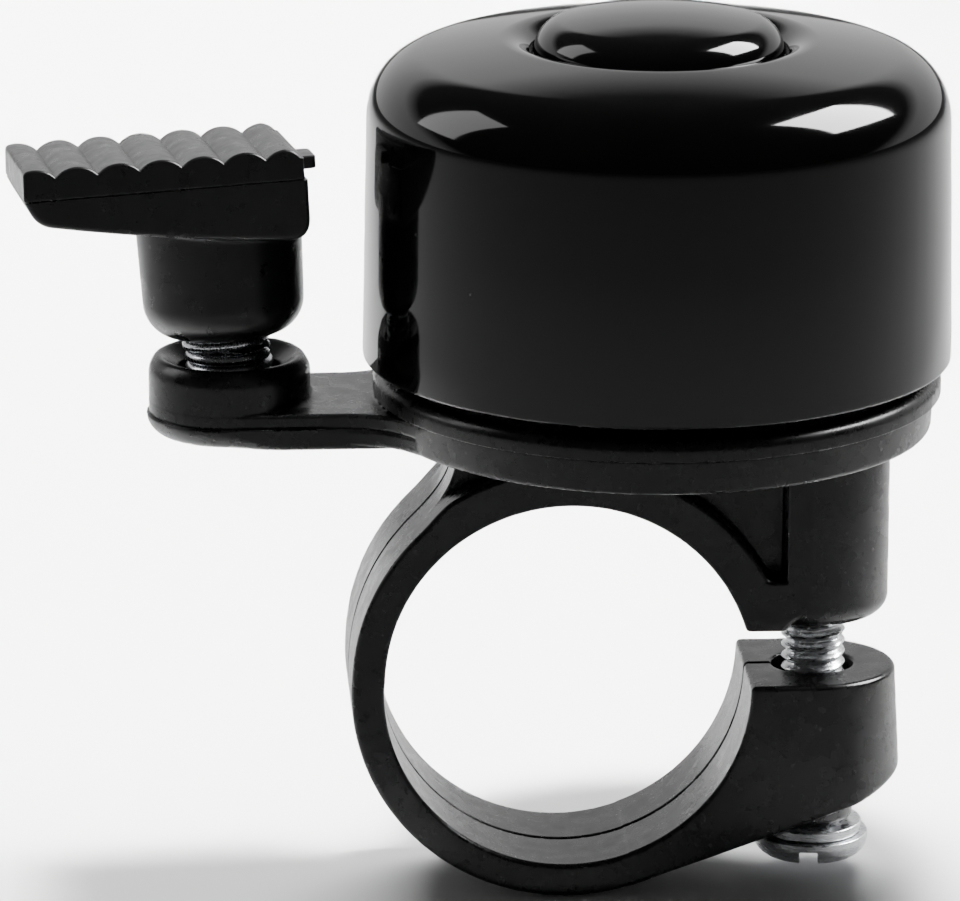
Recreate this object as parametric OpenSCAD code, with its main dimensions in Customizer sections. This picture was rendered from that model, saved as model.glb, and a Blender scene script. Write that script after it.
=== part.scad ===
// Thumb bell for a handlebar: a clamp band with a disc and an arm, a sprung
// striker on the arm, and a metal dome on a post.
// Origin: centre of the clamp bore. +Y runs along the handlebar, +Z is up to
// the bell, and the striker stands on the -X side.

/* [Handlebar clamp] */
// Diameter of the handlebar that the band closes on
bar_d = 22.2; // [22:0.1:22.6]
// Radial thickness of the band
band_t = 2; // [1.8:0.1:2.2]
// Width of the band along the handlebar
band_w = 10; // [9.5:0.1:10.5]
// Height of the upper lug's face above the bar centre
upper_lug_z = 3.05; // [2.8:0.05:3.4]
// Height of the lower lug's face above the bar centre, with the band closed to a circle
lower_lug_z = 0.38; // [0.2:0.02:0.5]
// How far the lower half of the band hangs open while the screw is slack, in degrees
jaw_open = 2; // [1.6:0.1:2.2]

/* [Clamp screw] */
// Distance of the screw axis from the bar centre
screw_x = 15.25; // [15.1:0.05:15.4]
// Thread diameter over the crests
screw_d = 3.9; // [3.8:0.05:3.95]
// Length of the screw under its head
screw_len = 30; // [29:0.5:31]

/* [Bell] */
// Distance of the bell axis from the bar centre
bell_x = 5.55; // [5.4:0.05:5.8]
// Outer diameter at the rim
bell_d = 35.4; // [35:0.1:35.8]
// Height from the rim to the crown
bell_h = 19.9; // [19.7:0.05:20.1]
// Height of the rim above the bar centre
bell_z = 19.35; // [19.25:0.05:19.6]
// Sheet thickness of the dome
bell_wall = 1.2; // [1:0.1:1.3]
// Outer radius of the rounded shoulder
shoulder_r = 3.9; // [3.6:0.1:4.2]

/* [Disc and arm] */
// Diameter of the disc's upper lip
disc_d = 34.2; // [34:0.1:34.6]
// Height of the disc's underside above the bar centre
disc_z = 15.1; // [15:0.05:15.3]
// Thickness of the disc
disc_t = 3.5; // [3.3:0.1:3.6]
// Distance of the spring cup's axis from the bar centre
cup_x = -20.15; // [-20.3:0.05:-20]
// Diameter of the spring cup and of the arm's round end
cup_d = 10; // [9.8:0.1:10.2]

/* [Striker] */
// Diameter of the skirt over the spring
skirt_d = 9.9; // [9.7:0.1:10]
// Width of the thumb lever
lever_w = 10.8; // [10.4:0.1:11]
// Number of scallops on the thumb pad
scallops = 7; // [7]
// Spacing of the scallops
scallop_pitch = 2.49; // [2.45:0.01:2.52]
// How far the striker leans back, away from the rider
lean_back = 4.1; // [2:0.1:5]
// How far the striker leans out, away from the bell
lean_out = 3; // [2:0.1:4]
// How far the lever is swung round its spring
lever_yaw = 6.6; // [4:0.2:8]

/* [Hidden] */
$fn = 96;
eps = 0.01;

bar_r = bar_d / 2;
band_r = bar_r + band_t;
half_w = band_w / 2;

// living hinge between the two halves of the band
hinge_z = 1.275;
hinge_slit = 0.12;
hinge_angle = 3.5;

// lugs, seen along the handlebar
lug_r = half_w;
upper_lug_x = 14.75;
lower_lug_x = 15.35;
lower_lug_flare = 0.09;
block_x = -6.7;
block_fillet = 1.2;
// the fillet's centre stands this far below the tangent point
fillet_sink = 0.4;
web_r = band_r + 0.4;
pocket_x0 = 6;
pocket_x = 13.05;
pocket_z = 6.2;
pocket_depth = 2;
pocket_corner = 0.5;
lug_round = 1.2;

// seat of the clamp screw under the lower lug, with the band closed to a circle
seat_z = -9.1;
seat_r = 2.9;
spot_face_r = 3.9;
spot_face_h = 2;
seat_h = 3;
underside = [[12.38, -9.4], [20.55, -5.9]];
lug_reach = [21.6, 2];
lug_corner = 0.9;
// where the straight line from the lug's underside meets the band
foot_angle = 20.2;
band_foot = [band_r * sin(foot_angle), -band_r * cos(foot_angle)];
screw_hole_r = 2.15;
slot_run = 0.36;

// clamp screw, washer and nut
head_r = 3.5;
head_h = 1.45;
head_z = -11.2;
head_slot_w = 1.1;
head_slot_d = 1;
head_slot_angle = 82;
head_round = 1.1;
screw_tip_h = 0.5;
screw_tip_d = 0.9;
washer_r = 3.1;
washer_t = 0.72;
washer_play = 0.08;
washer_lift = 0.02;
washer_gap = 0.4;
washer_gap_angle = 140;
nut_af = 7;
nut_h = 3.2;
nut_z = 15.05;
nut_play = 0.05;
nut_corner = 0.4;
nut_corner_r = nut_af / 2 + 0.7;
nut_face_r = nut_af / 2 + 0.1;

// disc
disc_top = disc_z + disc_t;
disc_part_z = disc_z + 2.1;
disc_low_r = disc_d / 2 - 0.45;
disc_lip_r = disc_d / 2;
disc_lip_round = 0.8;
disc_taper = 0.15;

// arm and spring cup
arm_z = 14.85;
arm_top = 17.05;
arm_part_z = 16.2;
arm_step = 0.15;
arm_round = 1.3;
// the arm runs under the disc to here
arm_len = bell_x - cup_x - 8;
cup_top = 20;
cup_round = 1.3;
dish_r = 4.58;
dish_depth = 1.65;
cup_bore_r = 3.05;
cup_floor = 15.9;
stud_r = 1.9;
stud_h = 2;
snug_r = 2.7;

// post under the dome
post_r = 4;
post_root_r = 5;
rib_t = 1.4;
rib_r = 7.5;
rib_top_r = post_r - 0.2;
rib_h = 9;

// dome: a crowned top rolls over the shoulder into the side
crown_r = 70;
side_draft = 0.3;
bell_r = bell_d / 2;
shoulder_x = bell_r - side_draft - shoulder_r;
crown_z = bell_z + bell_h - crown_r;
shoulder_z = crown_z + sqrt(pow(crown_r - shoulder_r, 2) - pow(shoulder_x, 2));
recess_r = 7.75;
recess_d = 1.95;
// the crown rolls softly down into the recess
lip_round = 2;
lip_x = 9.25;
lip_z = crown_z + sqrt(pow(crown_r - lip_round, 2) - pow(lip_x, 2));
floor_z = bell_z + bell_h - recess_d;
bell_hole_r = 2.4;
bush_t = 0.8;
bush_play = 0.05;
bush_recess = 0.1;
post_top = floor_z - bell_wall - bush_t;

// cap, washer and screw on top of the dome
cap_r = 7.45;
cap_rim = 1.9;
cap_crown_r = 28;
cap_h = 3.05;
cap_crown_z = floor_z + cap_h - cap_crown_r;
cap_rim_z = cap_crown_z + sqrt(pow(cap_crown_r - cap_rim, 2) - pow(cap_r - cap_rim, 2));
cap_bore_r = 6.05;
cap_bore_h = 0.95;
cap_head_room_r = 3.6;
cap_head_room_h = 2;
dome_washer_r = 6;
dome_washer_t = 0.8;
dome_screw_r = 1.45;
dome_screw_len = 12;
dome_screw_point = [0.3, 1];
dome_screw_play = 0.15;
dome_head_r = 3.2;
dome_head_h = 1.1;
dome_head_round = 0.5;
drive_depth = 0.6;
drive_len = 3.2;
drive_w = 0.7;

// spring
wire_r = 0.35;
spring_r = 2.3;
spring_pitch = 0.68;
lean_z = 17;
spring_low = 16;
spring_turns_low = 6;
spring_turns_high = 8;
// the upper coils lean, so their first one sits a little deeper
spring_nest = 0.15;

// striker, measured from its lean point
mouth_z = 3.8;
mouth_r = 3.05;
skirt_round_z = 5.9;
skirt_round = 2.7;
skirt_round_lift = 0.2;
skirt_draft = 0.12;
mouth_wall = 0.25;
skirt_top = 10.2;
skirt_bore_r = 3.02;
skirt_snug_z = 6.4;
skirt_roof = 8.6;
lever_left = -12;
lever_right = 4.85;
lever_bottom = 9.85;
lever_tip_z = 12.1;
// how far the tip's corners stand in from its end, from the seam down
tip_run = [0.03, 0.2, 0.75];
tip_rise = 0.5;
lever_knee = [-5.2, 10.9];
seam_z = 13.57;
valley_z = 14.96;
peak_h = 0.52;
first_valley = -10.03;
lever_round = 0.9;
pad_right = 4.7;
pad_round = 1.25;
plate_w = 3;
plate_t = 0.78;
plate_x0 = -4;
plate_x1 = 6;
plate_play = 0.03;
peg_r = 0.9;
peg_x = [-2.2, 2];
peg_h = 1.6;
peg_play = 0.03;
peg_foot_play = 0.1;

// outline drawn in X and Z, given a thickness along Y
module across(w) {
  rotate([90, 0, 0]) linear_extrude(w, center = true) children();
}

// the striker's own frame, at rest
module striker_place() {
  translate([cup_x, 0, lean_z])
    rotate([-lean_back, -lean_out, 0])
      rotate([0, 0, lever_yaw]) children();
}

// solid of revolution with one rounded upper edge
module round_top(r, h, edge) {
  rotate_extrude() {
    square([r, h - edge]);
    square([r - edge, h]);
    translate([r - edge, h - edge]) intersection() {
      circle(edge);
      square(edge);
    }
  }
}

// ---- base moulding ----

module disc() {
  translate([bell_x, 0, disc_z])
    cylinder(r1 = disc_low_r - disc_taper, r2 = disc_low_r, h = disc_part_z - disc_z + eps);
  translate([bell_x, 0, disc_part_z]) round_top(disc_lip_r, disc_top - disc_part_z, disc_lip_round);
}

module post() {
  translate([bell_x, 0, disc_top - eps]) {
    cylinder(r1 = post_root_r, r2 = post_r, h = post_top - disc_top + eps);
    for (a = [45 : 90 : 315]) rotate([90, 0, a]) linear_extrude(rib_t, center = true)
      polygon([[0, 0], [rib_r, 0], [rib_top_r, rib_h], [0, rib_h]]);
  }
}

module arm_plan(inset) {
  translate([cup_x, 0]) circle(cup_d / 2 - inset);
  translate([cup_x, -cup_d / 2 + inset]) square([arm_len, cup_d - 2 * inset]);
}

module arm() {
  translate([0, 0, arm_part_z - eps]) linear_extrude(arm_top - arm_part_z + eps) arm_plan(arm_step);
  translate([0, 0, arm_z]) intersection() {
    linear_extrude(arm_part_z - arm_z) arm_plan(0);
    union() {
      translate([cup_x, 0, 0]) mirror([0, 0, 1]) translate([0, 0, -(arm_part_z - arm_z)])
        round_top(cup_d / 2, arm_part_z - arm_z, arm_round);
      translate([cup_x, -cup_d / 2, 0]) cube([arm_len, cup_d, arm_part_z - arm_z]);
    }
  }
}

module cup() {
  translate([cup_x, 0, arm_part_z]) round_top(cup_d / 2 - arm_step, cup_top - arm_part_z, cup_round);
}

module cup_socket() {
  translate([cup_x, 0, 0]) difference() {
    union() {
      translate([0, 0, cup_floor]) cylinder(r = snug_r, h = cup_top);
      translate([0, 0, cup_floor + stud_h]) cylinder(r = cup_bore_r, h = cup_top);
      translate([0, 0, cup_top - dish_depth]) cylinder(r1 = cup_bore_r, r2 = dish_r, h = dish_depth);
      translate([0, 0, cup_top - eps]) cylinder(r = dish_r, h = 1);
    }
    cylinder(r = stud_r, h = cup_floor + stud_h);
  }
}

module upper_arch_outline() {
  fillet_x = block_x - block_fillet;
  fillet_z = sqrt(pow(band_r, 2) - pow(fillet_x, 2)) - fillet_sink;
  difference() {
    union() {
      circle(band_r);
      translate([block_x, 0]) square([upper_lug_x - block_x, disc_z + eps]);
      translate([fillet_x, fillet_z]) square(block_fillet + eps);
    }
    translate([-bar_d, -bar_d]) square([2 * bar_d, bar_d + hinge_z + hinge_slit / 2]);
    square([bar_d, upper_lug_z]);
    translate([fillet_x, fillet_z + block_fillet]) circle(block_fillet);
  }
}

// corner left of the pin column that is cored out from the front and back
module pocket_outline() {
  difference() {
    translate([pocket_x0, pocket_z]) square([pocket_x - pocket_x0, disc_z - pocket_z]);
    circle(web_r);
    translate([pocket_x, pocket_z]) difference() {
      translate([-pocket_corner, 0]) square(pocket_corner);
      translate([-pocket_corner, pocket_corner]) circle(pocket_corner);
    }
  }
}

module screw_column() {
  translate([upper_lug_x, 0, disc_z + eps]) mirror([0, 0, 1])
    round_top(lug_r, disc_z + eps - upper_lug_z, lug_round);
}

module base_frame() {
  color("#1b1b1c") difference() {
    union() {
      disc();
      post();
      arm();
      cup();
      across(band_w) upper_arch_outline();
      screw_column();
    }
    rotate([90, 0, 0]) cylinder(r = bar_r, h = 2 * band_w, center = true);
    cup_socket();
    translate([screw_x, 0, 0]) cylinder(r = screw_hole_r, h = nut_z + eps);
    translate([screw_x, 0, nut_z - nut_play])
      cylinder(d = (nut_af + 2 * nut_play) / cos(30), h = disc_t + 2, $fn = 6);
    for (s = [-1, 1]) translate([0, s * half_w, 0]) across(2 * pocket_depth) pocket_outline();
    translate([bell_x, 0, post_top - dome_screw_len])
      cylinder(r = dome_screw_r + bush_play, h = dome_screw_len + 1);
  }
}

// ---- lower half of the band ----

module jaw_outline() {
  difference() {
    union() {
      circle(band_r);
      polygon([[0, 0], [bar_r, lug_reach[1]], lug_reach, [lug_reach[0], underside[1][1] + lug_corner],
               underside[1], underside[0], band_foot]);
    }
    translate([bar_r, lower_lug_z]) rotate(jaw_open) translate([-bar_r, 0]) square([2 * bar_d, bar_d]);
    translate([-band_r, hinge_z - hinge_slit / 2]) rotate(-hinge_angle) square([2 * band_t, bar_d]);
    translate([-band_r - 1, hinge_z - hinge_slit / 2]) square([2 * band_r, bar_d]);
  }
}

module lug_plan() {
  translate([-bar_d, -half_w, -bar_d]) cube([bar_d + lower_lug_x, band_w, 2 * bar_d]);
  translate([lower_lug_x, 0, -bar_d])
    cylinder(r1 = lug_r + lower_lug_flare * bar_d, r2 = lug_r - lower_lug_flare * lug_reach[1],
             h = bar_d + lug_reach[1]);
}

// slotted, because the lug swings while the screw stays upright
module jaw_hole() {
  translate([screw_x, 0, -bar_d]) linear_extrude(2 * bar_d) {
    for (s = [-1, 1]) translate([s * slot_run, 0]) circle(screw_hole_r);
    square([2 * slot_run, 2 * screw_hole_r], center = true);
  }
}

module clamp_jaw() {
  color("#1b1b1c") translate([-band_r, 0, hinge_z]) rotate([0, jaw_open, 0]) translate([band_r, 0, -hinge_z])
    difference() {
      union() {
        intersection() {
          across(band_w + 2) jaw_outline();
          lug_plan();
          translate([-bar_d, -half_w, -bar_d]) cube([3 * bar_d, band_w, 2 * bar_d]);
        }
        translate([screw_x, 0, seat_z]) cylinder(r = seat_r, h = seat_h);
      }
      rotate([90, 0, 0]) cylinder(r = bar_r, h = 2 * band_w, center = true);
      jaw_hole();
      translate([screw_x, 0, seat_z - spot_face_h]) cylinder(r = spot_face_r, h = spot_face_h);
    }
}

// ---- dome and what holds it ----

// half profile with a crowned top: the crown's arc rolls over an edge arc into the side
module crowned(r, low, x, z, edge, crown, centre_z) {
  tilt = atan2(x, z - centre_z);
  reach = 2 * edge;
  beyond = [x + reach * sin(tilt), z + reach * cos(tilt)];
  polygon([[0, low], [r, low], [x + edge, z], [0, z]]);
  intersection() {
    translate([x, z]) circle(edge);
    polygon([[x, z], [x + reach, z], [x + reach, beyond[1]], beyond]);
  }
  intersection() {
    translate([0, centre_z]) circle(crown, $fn = 720);
    polygon([[0, z - eps], [x, z - eps], [x, z], beyond, [0, beyond[1]]]);
  }
}

module dome_outline(inset) {
  crowned(bell_r - inset, bell_z, shoulder_x, shoulder_z, shoulder_r - inset, crown_r - inset, crown_z);
}

module bell_dome() {
  color("#0c0c0d") translate([bell_x, 0, 0]) rotate_extrude() difference() {
    dome_outline(0);
    difference() {
      union() {
        dome_outline(bell_wall);
        translate([0, bell_z - eps]) square([bell_r - bell_wall, 2 * eps]);
      }
      translate([0, floor_z - bell_wall]) square([recess_r + bell_wall, bell_wall + recess_d]);
    }
    translate([0, floor_z]) square([recess_r, recess_d + 1]);
    difference() {
      translate([0, lip_z]) square([lip_x, lip_round + 1]);
      translate([lip_x, lip_z]) circle(lip_round);
    }
    square([bell_hole_r, bell_z + bell_h + 1]);
  }
}

module dome_cap() {
  color("#101011") translate([bell_x, 0, 0]) difference() {
    rotate_extrude() crowned(cap_r, floor_z, cap_r - cap_rim, cap_rim_z, cap_rim, cap_crown_r, cap_crown_z);
    translate([0, 0, floor_z - eps]) cylinder(r = cap_bore_r, h = cap_bore_h + eps);
    translate([0, 0, floor_z]) cylinder(r = cap_head_room_r, h = cap_head_room_h);
  }
}

module dome_washer() {
  color("#b9babd") translate([bell_x, 0, floor_z]) difference() {
    cylinder(r = dome_washer_r, h = dome_washer_t);
    translate([0, 0, -1]) cylinder(r = dome_screw_r + dome_screw_play, h = dome_washer_t + 2);
  }
}

module dome_screw() {
  color("#c8c9cc") translate([bell_x, 0, floor_z + dome_washer_t]) {
    difference() {
      round_top(dome_head_r, dome_head_h, dome_head_round);
      translate([0, 0, dome_head_h - drive_depth]) for (a = [0, 90]) rotate([0, 0, a])
        translate([-drive_len / 2, -drive_w / 2, 0]) cube([drive_len, drive_w, 1]);
    }
    translate([0, 0, -dome_screw_len]) cylinder(r = dome_screw_r, h = dome_screw_len + eps);
    translate([0, 0, -dome_screw_len - dome_screw_point[1]])
      cylinder(r1 = dome_screw_point[0], r2 = dome_screw_r, h = dome_screw_point[1] + eps);
  }
}

// nylon bush that seats the dome on its post and centres its hole
module dome_bush() {
  color("#e6e3da") translate([bell_x, 0, post_top]) difference() {
    union() {
      cylinder(r = post_r, h = bush_t);
      cylinder(r = bell_hole_r - bush_play, h = bush_t + bell_wall - bush_recess);
    }
    translate([0, 0, -1]) cylinder(r = dome_screw_r + bush_recess, h = 5);
  }
}

// ---- clamp screw ----

module clamp_screw() {
  color("#b4b6b9") translate([screw_x, 0, head_z]) {
    difference() {
      mirror([0, 0, 1]) round_top(head_r, head_h, head_round);
      rotate([0, 0, head_slot_angle]) translate([-head_r - 1, -head_slot_w / 2, -head_h - 1])
        cube([2 * head_r + 2, head_slot_w, 1 + head_slot_d]);
    }
    cylinder(r = screw_d / 2, h = screw_len - screw_tip_h);
    translate([0, 0, screw_len - screw_tip_h - eps])
      cylinder(d1 = screw_d, d2 = screw_d - screw_tip_d, h = screw_tip_h);
  }
}

module lock_washer() {
  color("#c6c8ca") translate([screw_x, 0, head_z + washer_lift]) difference() {
    cylinder(r = washer_r, h = washer_t);
    translate([0, 0, -1]) cylinder(r = screw_d / 2 + washer_play, h = 3);
    rotate([0, 0, washer_gap_angle]) translate([0, -washer_gap / 2, -1]) cube([washer_r + 1, washer_gap, 3]);
  }
}

module clamp_nut() {
  color("#b4b6b9") translate([screw_x, 0, nut_z]) difference() {
    intersection() {
      cylinder(d = nut_af / cos(30), h = nut_h, $fn = 6);
      union() {
        cylinder(r1 = nut_face_r, r2 = nut_corner_r, h = nut_corner);
        translate([0, 0, nut_corner - eps])
          cylinder(r = nut_corner_r, h = nut_h - 2 * nut_corner + 2 * eps);
        translate([0, 0, nut_h - nut_corner]) cylinder(r1 = nut_corner_r, r2 = nut_face_r, h = nut_corner);
      }
    }
    translate([0, 0, -1]) cylinder(r = screw_d / 2 + nut_play, h = nut_h + 2);
  }
}

// ---- striker ----

// close-wound coils as a stack of rings
module coil_stack(turns) {
  rotate_extrude() for (i = [0 : turns - 1])
    translate([spring_r, (i + 0.5) * spring_pitch]) circle(wire_r, $fn = 32);
}

module striker_spring() {
  color("#aeb0b4") {
    translate([cup_x, 0, spring_low]) coil_stack(spring_turns_low);
    striker_place() translate([0, 0, spring_low + spring_turns_low * spring_pitch - lean_z - spring_nest])
      coil_stack(spring_turns_high);
  }
}

module skirt_solid() {
  rise = skirt_round_z - mouth_z;
  low_r = skirt_d / 2 - skirt_draft;
  rotate_extrude() {
    polygon([[0, skirt_round_z], [low_r, skirt_round_z], [skirt_d / 2, skirt_top], [0, skirt_top]]);
    intersection() {
      translate([0, mouth_z]) square([low_r, rise]);
      translate([low_r - skirt_round, skirt_round_z + skirt_round_lift]) circle(skirt_round);
    }
    translate([0, mouth_z]) square([mouth_r + mouth_wall, rise]);
  }
}

module lever_low_outline() {
  difference() {
    polygon([[lever_left + tip_run[0], seam_z], [lever_left + tip_run[1], lever_tip_z + tip_rise],
             [lever_left + tip_run[2], lever_tip_z], lever_knee, [lever_right, lever_bottom],
             [lever_right, seam_z]]);
    translate([lever_right, lever_bottom]) difference() {
      translate([-lever_round, -eps]) square([lever_round + eps, lever_round + eps]);
      translate([-lever_round, lever_round]) circle(lever_round);
    }
  }
}

module striker_body() {
  color("#161617") striker_place() difference() {
    union() {
      skirt_solid();
      across(lever_w) lever_low_outline();
    }
    difference() {
      union() {
        translate([0, 0, mouth_z - 1]) cylinder(r = skirt_bore_r, h = skirt_snug_z - mouth_z + 1);
        translate([0, 0, skirt_snug_z - eps]) cylinder(r = snug_r, h = skirt_roof - skirt_snug_z);
      }
      translate([0, 0, skirt_snug_z]) cylinder(r = stud_r, h = skirt_roof);
    }
    for (x = peg_x) translate([x, 0, seam_z - peg_h]) cylinder(r = peg_r + peg_play, h = peg_h + 1);
  }
}

// ribbed top of the lever, seen from the side
module pad_outline() {
  bump_r = (pow(scallop_pitch / 2, 2) + pow(peak_h, 2)) / (2 * peak_h);
  last_peak = first_valley + (scallops - 1.5) * scallop_pitch;
  peak_z = valley_z + peak_h;
  translate([lever_left, seam_z]) square([pad_right - lever_left, peak_z - pad_round - seam_z]);
  translate([lever_left, seam_z]) square([pad_right - pad_round - lever_left, valley_z - seam_z]);
  intersection() {
    union() for (i = [0 : scallops - 1])
      translate([first_valley + (i - 0.5) * scallop_pitch, peak_z - bump_r]) circle(bump_r);
    translate([lever_left, seam_z]) square([last_peak - lever_left, peak_z - seam_z + 1]);
  }
  intersection() {
    translate([pad_right - pad_round, peak_z - pad_round]) circle(pad_round);
    translate([lever_left, seam_z]) square([pad_right - lever_left, peak_z - seam_z + 1]);
  }
}

module thumb_pad() {
  color("#1d1d1e") striker_place() {
    difference() {
      across(lever_w) pad_outline();
      translate([plate_x0 - plate_play, -plate_w / 2 - plate_play, seam_z - 1])
        cube([20, plate_w + 2 * plate_play, 1 + plate_t + plate_play]);
    }
    for (x = peg_x) translate([x, 0, seam_z - peg_h + peg_foot_play])
      cylinder(r = peg_r, h = peg_h + plate_t);
  }
}

module hammer_plate() {
  color("#202022") striker_place() difference() {
    translate([plate_x0, -plate_w / 2, seam_z]) cube([plate_x1 - plate_x0, plate_w, plate_t]);
    for (x = peg_x) translate([x, 0, seam_z - 1]) cylinder(r = peg_r + peg_play, h = 3);
  }
}

base_frame();
clamp_jaw();
bell_dome();
dome_cap();
dome_screw();
dome_washer();
dome_bush();
clamp_screw();
lock_washer();
clamp_nut();
striker_spring();
striker_body();
thumb_pad();
hammer_plate();
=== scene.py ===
"""Looks of a thumb bell: black moulded clamp, disc and arm, gloss gong with a cap, ribbed lever."""
import math

import bpy
import numpy as np
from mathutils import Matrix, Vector


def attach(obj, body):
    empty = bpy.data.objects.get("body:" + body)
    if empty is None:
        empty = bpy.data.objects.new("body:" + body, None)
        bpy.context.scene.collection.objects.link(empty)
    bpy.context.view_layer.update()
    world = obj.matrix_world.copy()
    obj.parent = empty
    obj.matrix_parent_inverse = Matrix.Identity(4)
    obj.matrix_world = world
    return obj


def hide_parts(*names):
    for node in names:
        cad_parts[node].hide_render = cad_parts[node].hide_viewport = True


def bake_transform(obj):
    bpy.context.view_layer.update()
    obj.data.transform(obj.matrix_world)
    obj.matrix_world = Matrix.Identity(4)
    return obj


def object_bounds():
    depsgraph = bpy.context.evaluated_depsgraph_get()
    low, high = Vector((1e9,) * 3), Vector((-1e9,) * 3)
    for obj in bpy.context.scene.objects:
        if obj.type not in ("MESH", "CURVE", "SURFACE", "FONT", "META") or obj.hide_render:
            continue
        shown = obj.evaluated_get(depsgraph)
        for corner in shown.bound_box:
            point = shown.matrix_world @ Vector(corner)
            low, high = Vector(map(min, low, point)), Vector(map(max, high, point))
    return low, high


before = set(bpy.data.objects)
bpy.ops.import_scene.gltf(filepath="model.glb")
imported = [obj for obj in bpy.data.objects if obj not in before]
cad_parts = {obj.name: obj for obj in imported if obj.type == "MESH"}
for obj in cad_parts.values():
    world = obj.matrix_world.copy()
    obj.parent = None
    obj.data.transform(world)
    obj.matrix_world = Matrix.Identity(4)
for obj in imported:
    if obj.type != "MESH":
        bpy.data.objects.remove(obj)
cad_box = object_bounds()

MM = 0.001
FINE = 1.0

# ---------------------------------------------------------------- dimensions, mm
BORE_R, BAND_R, HALF_W = 11.1, 13.1, 5.0
HINGE = (-13.1, 1.275)
OPEN = math.radians(2.0)
UPPER_LUG, LOWER_LUG = 3.05, 0.38
SCREW_X = 15.25
BELL_X = 5.55
CUP_X = -20.15
DISC_Z, DISC_TOP = 15.1, 18.6
DISC_LOW_R, DISC_LIP_R = 16.62, 17.1
ARM_Z, ARM_PART_Z, ARM_TOP = 14.85, 16.2, 17.05
CUP_R, CUP_TOP, CUP_ROUND = 4.85, 20.0, 1.45
LUG_X, LUG_R = 14.75, 5.0
JAW_LUG_X = 15.35
SEAT_Z, SEAT_R, SPOT_R = -9.1, 2.9, 3.9
SCREW_HOLE_R, SLOT_RUN = 2.15, 0.36
SOCKET_R, SNUG_R, STUD_R = 3.05, 2.72, 1.88
PEG_X, PEG_R, PEG_HOLE_R = (-2.2, 2.0), 0.9, 0.93


# ---------------------------------------------------------------- distance fields
def smin(a, b, k):
    h = np.maximum(k - np.abs(a - b), 0) / k
    return np.minimum(a, b) - h * h * k * 0.25


def smax(a, b, k):
    return -smin(-a, -b, k)


def both(a, b, r):
    """Region inside a and b, its shared edge rounded to radius r."""
    a, b = a + r, b + r
    return np.minimum(np.maximum(a, b), 0) + np.hypot(np.maximum(a, 0), np.maximum(b, 0)) - r


def edge_of(x, z, p, q):
    """Distance outside the line from p to q, whose inside is on the left."""
    dx, dz = q[0] - p[0], q[1] - p[1]
    n = math.hypot(dx, dz)
    return ((x - p[0]) * dz - (z - p[1]) * dx) / n


def smooth_step(t):
    t = np.clip(t, 0, 1)
    return t * t * (3 - 2 * t)


# ---------------------------------------------------------------- meshing
def spaced(*runs):
    """Grid lines from runs of (start, end, step)."""
    lines = []
    for a, b, step in runs:
        n = max(1, int(round((b - a) / (step / FINE))))
        lines.extend(np.linspace(a, b, n + 1)[:-1])
    lines.append(runs[-1][1])
    return np.array(lines)


def gradient(f, p, e=0.006):
    g = np.zeros_like(p)
    for i in range(3):
        d = np.zeros(3)
        d[i] = e
        hi, lo = p + d, p - d
        g[:, i] = (f(hi[:, 0], hi[:, 1], hi[:, 2]) - f(lo[:, 0], lo[:, 1], lo[:, 2])) / (2 * e)
    return g


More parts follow.
